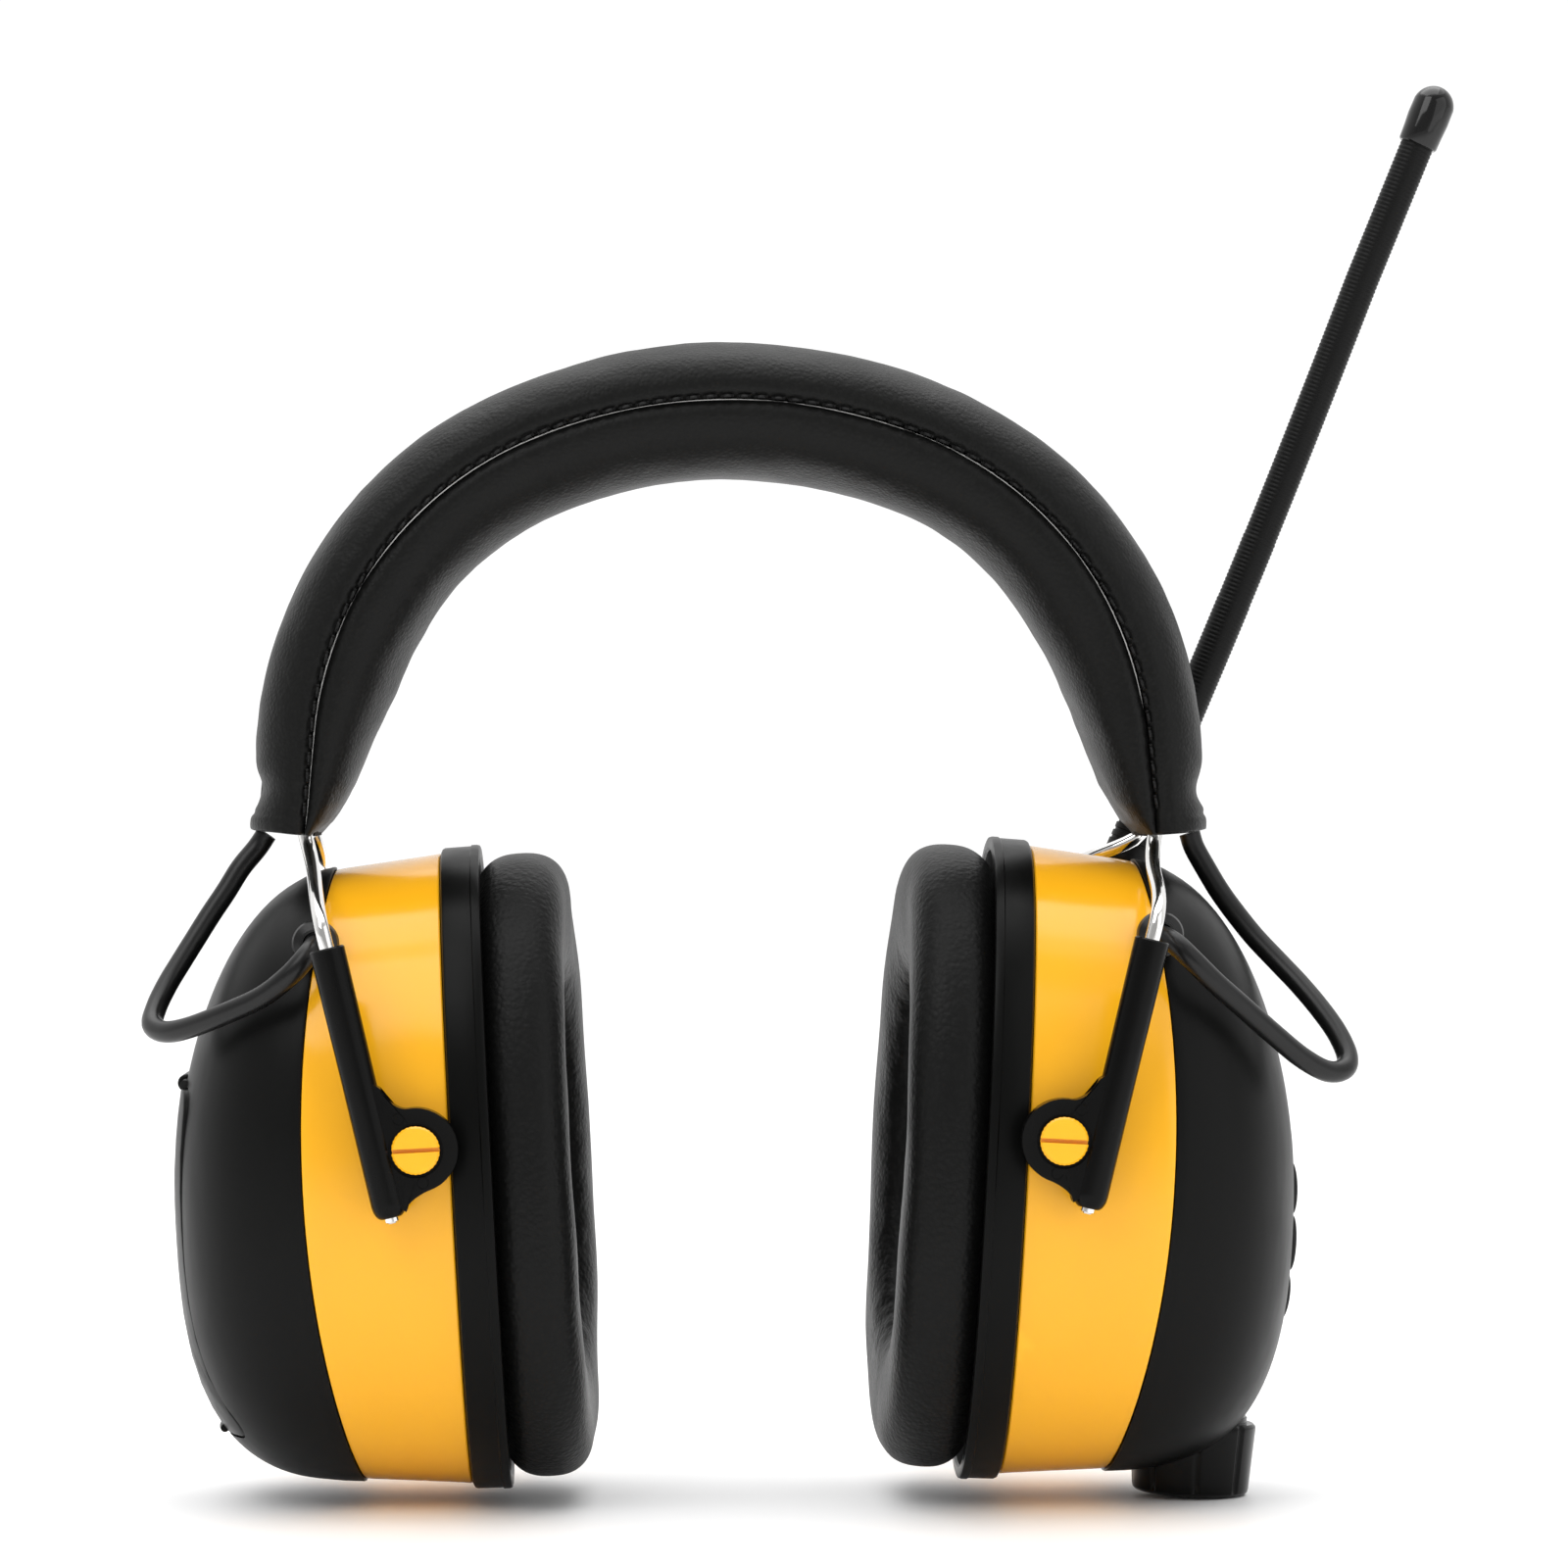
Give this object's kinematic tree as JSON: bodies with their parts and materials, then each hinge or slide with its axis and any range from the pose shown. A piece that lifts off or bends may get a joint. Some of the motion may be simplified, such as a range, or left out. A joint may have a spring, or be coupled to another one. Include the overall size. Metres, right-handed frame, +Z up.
{
  "type": "radio hearing protector headset",
  "caption": "Over-the-head hearing protector with a built-in radio, sprung padded headband, oval sealed ear cups, whip antenna, volume knob and control keys.",
  "frame": {"origin": "midway between the two ear cushions, on the axis through the ears, where the middle of the wearer's head goes", "axes": "+X towards the radio cup with the antenna, +Y towards the back of the head, +Z up to the crown of the headband"},
  "size_m": [0.2295, 0.099, 0.2478],
  "materials": {
    "leatherette": "soft grained leatherette",
    "cushion_skin": "grained leatherette over foam",
    "foam": "open cell foam",
    "spring_steel": "bright drawn wire",
    "cable_rubber": "matte jacket",
    "arm_plastic": "satin moulded",
    "yellow_plastic": "glossy moulded",
    "shell_plastic": "fine moulded texture",
    "rim_plastic": "satin moulded",
    "knob_plastic": "satin moulded",
    "key_rubber": "silicone rubber",
    "inner_plastic": "plain moulded",
    "driver_metal": "painted frame",
    "screw_steel": "zinc plated",
    "cell_jacket": "printed sleeve, blank",
    "contact_metal": "nickel plated",
    "board": "solder mask",
    "shield_metal": "tinned can",
    "lcd_glass": "tinted window",
    "lcd_panel": "display panel",
    "antenna_rubber": "ribbed flexible sleeve",
    "antenna_gloss": "polished cap"
  },
  "bodies": {
    "headband": {"headband_cover": "leatherette", "headband_pad": "leatherette", "headband_core": "foam", "wire_front": "spring_steel", "wire_back": "spring_steel", "cable_left": "cable_rubber", "cable_right": "cable_rubber", "cable_inner": "cable_rubber"},
    "yoke_left": {"arm_front_left": "arm_plastic", "arm_back_left": "arm_plastic"},
    "yoke_right": {"arm_front_right": "arm_plastic", "arm_back_right": "arm_plastic"},
    "cup_left": {"band_left": "yellow_plastic", "outer_shell_left": "shell_plastic", "rim_ring_left": "rim_plastic", "ear_cushion_left": "cushion_skin", "baffle_left": "inner_plastic", "foam_left": "foam", "speaker_left": "driver_metal", "pivot_pins_left": "yellow_plastic", "cable_gland_left": "cable_rubber", "shell_screws_left": "screw_steel", "battery_tray": "inner_plastic", "battery_cells": "cell_jacket", "battery_contacts": "contact_metal", "door_hinge_pin": "inner_plastic"},
    "battery_door": {"battery_door": "shell_plastic"},
    "cup_right": {"band_right": "yellow_plastic", "outer_shell_right": "shell_plastic", "rim_ring_right": "rim_plastic", "ear_cushion_right": "cushion_skin", "baffle_right": "inner_plastic", "foam_right": "foam", "speaker_right": "driver_metal", "pivot_pins_right": "yellow_plastic", "cable_gland_right": "cable_rubber", "shell_screws_right": "screw_steel", "main_board": "board", "tuner_can": "shield_metal", "lcd_module": "lcd_panel", "lcd_window": "lcd_glass", "key_switches": "inner_plastic", "volume_control": "shield_metal", "aux_jack": "inner_plastic", "antenna_base": "antenna_rubber", "antenna_whip": "antenna_rubber", "antenna_cap": "antenna_gloss"},
    "volume_knob": {"volume_knob": "knob_plastic"},
    "key_up": {"key_up": "key_rubber"},
    "key_center": {"key_center": "key_rubber"},
    "key_down": {"key_down": "key_rubber"}
  },
  "joints": [
    {"name": "left_height", "type": "slide", "parent": "headband", "child": "yoke_left", "axis": [0.2334, 0, -0.9724], "range_m": [0, 0.03], "deforming": ["cable_left"]},
    {"name": "left_tilt", "type": "hinge", "parent": "yoke_left", "child": "cup_left", "pos_m": [-0.05381, 0, 0.0057], "axis": [0, 1, 0], "range_deg": [-12, 12], "deforming": ["cable_left"]},
    {"name": "right_height", "type": "slide", "parent": "headband", "child": "yoke_right", "axis": [-0.2334, 0, -0.9724], "range_m": [0, 0.03], "deforming": ["cable_right"]},
    {"name": "right_tilt", "type": "hinge", "parent": "yoke_right", "child": "cup_right", "pos_m": [0.05381, 0, 0.0071], "axis": [0, 1, 0], "range_deg": [-2, 4], "deforming": ["cable_right"]},
    {"name": "door_open", "type": "hinge", "parent": "cup_left", "child": "battery_door", "pos_m": [-0.09445, 0, 0.01499], "axis": [0, 1, 0], "range_deg": [0, 95]},
    {"name": "volume_turn", "type": "hinge", "parent": "cup_right", "child": "volume_knob", "pos_m": [0.07934, 0, -0.05031], "axis": [0.0523, 0, 0.9986], "range_deg": [0, 300]},
    {"name": "key_up_press", "type": "slide", "parent": "cup_right", "child": "key_up", "axis": [-0.9986, 0, 0.0523], "range_m": [0, 0.0005], "stiffness_N_per_m": 400},
    {"name": "key_center_press", "type": "slide", "parent": "cup_right", "child": "key_center", "axis": [-0.9986, 0, 0.0523], "range_m": [0, 0.0005], "stiffness_N_per_m": 400},
    {"name": "key_down_press", "type": "slide", "parent": "cup_right", "child": "key_down", "axis": [-0.9986, 0, 0.0523], "range_m": [0, 0.0005], "stiffness_N_per_m": 400}
  ]
}
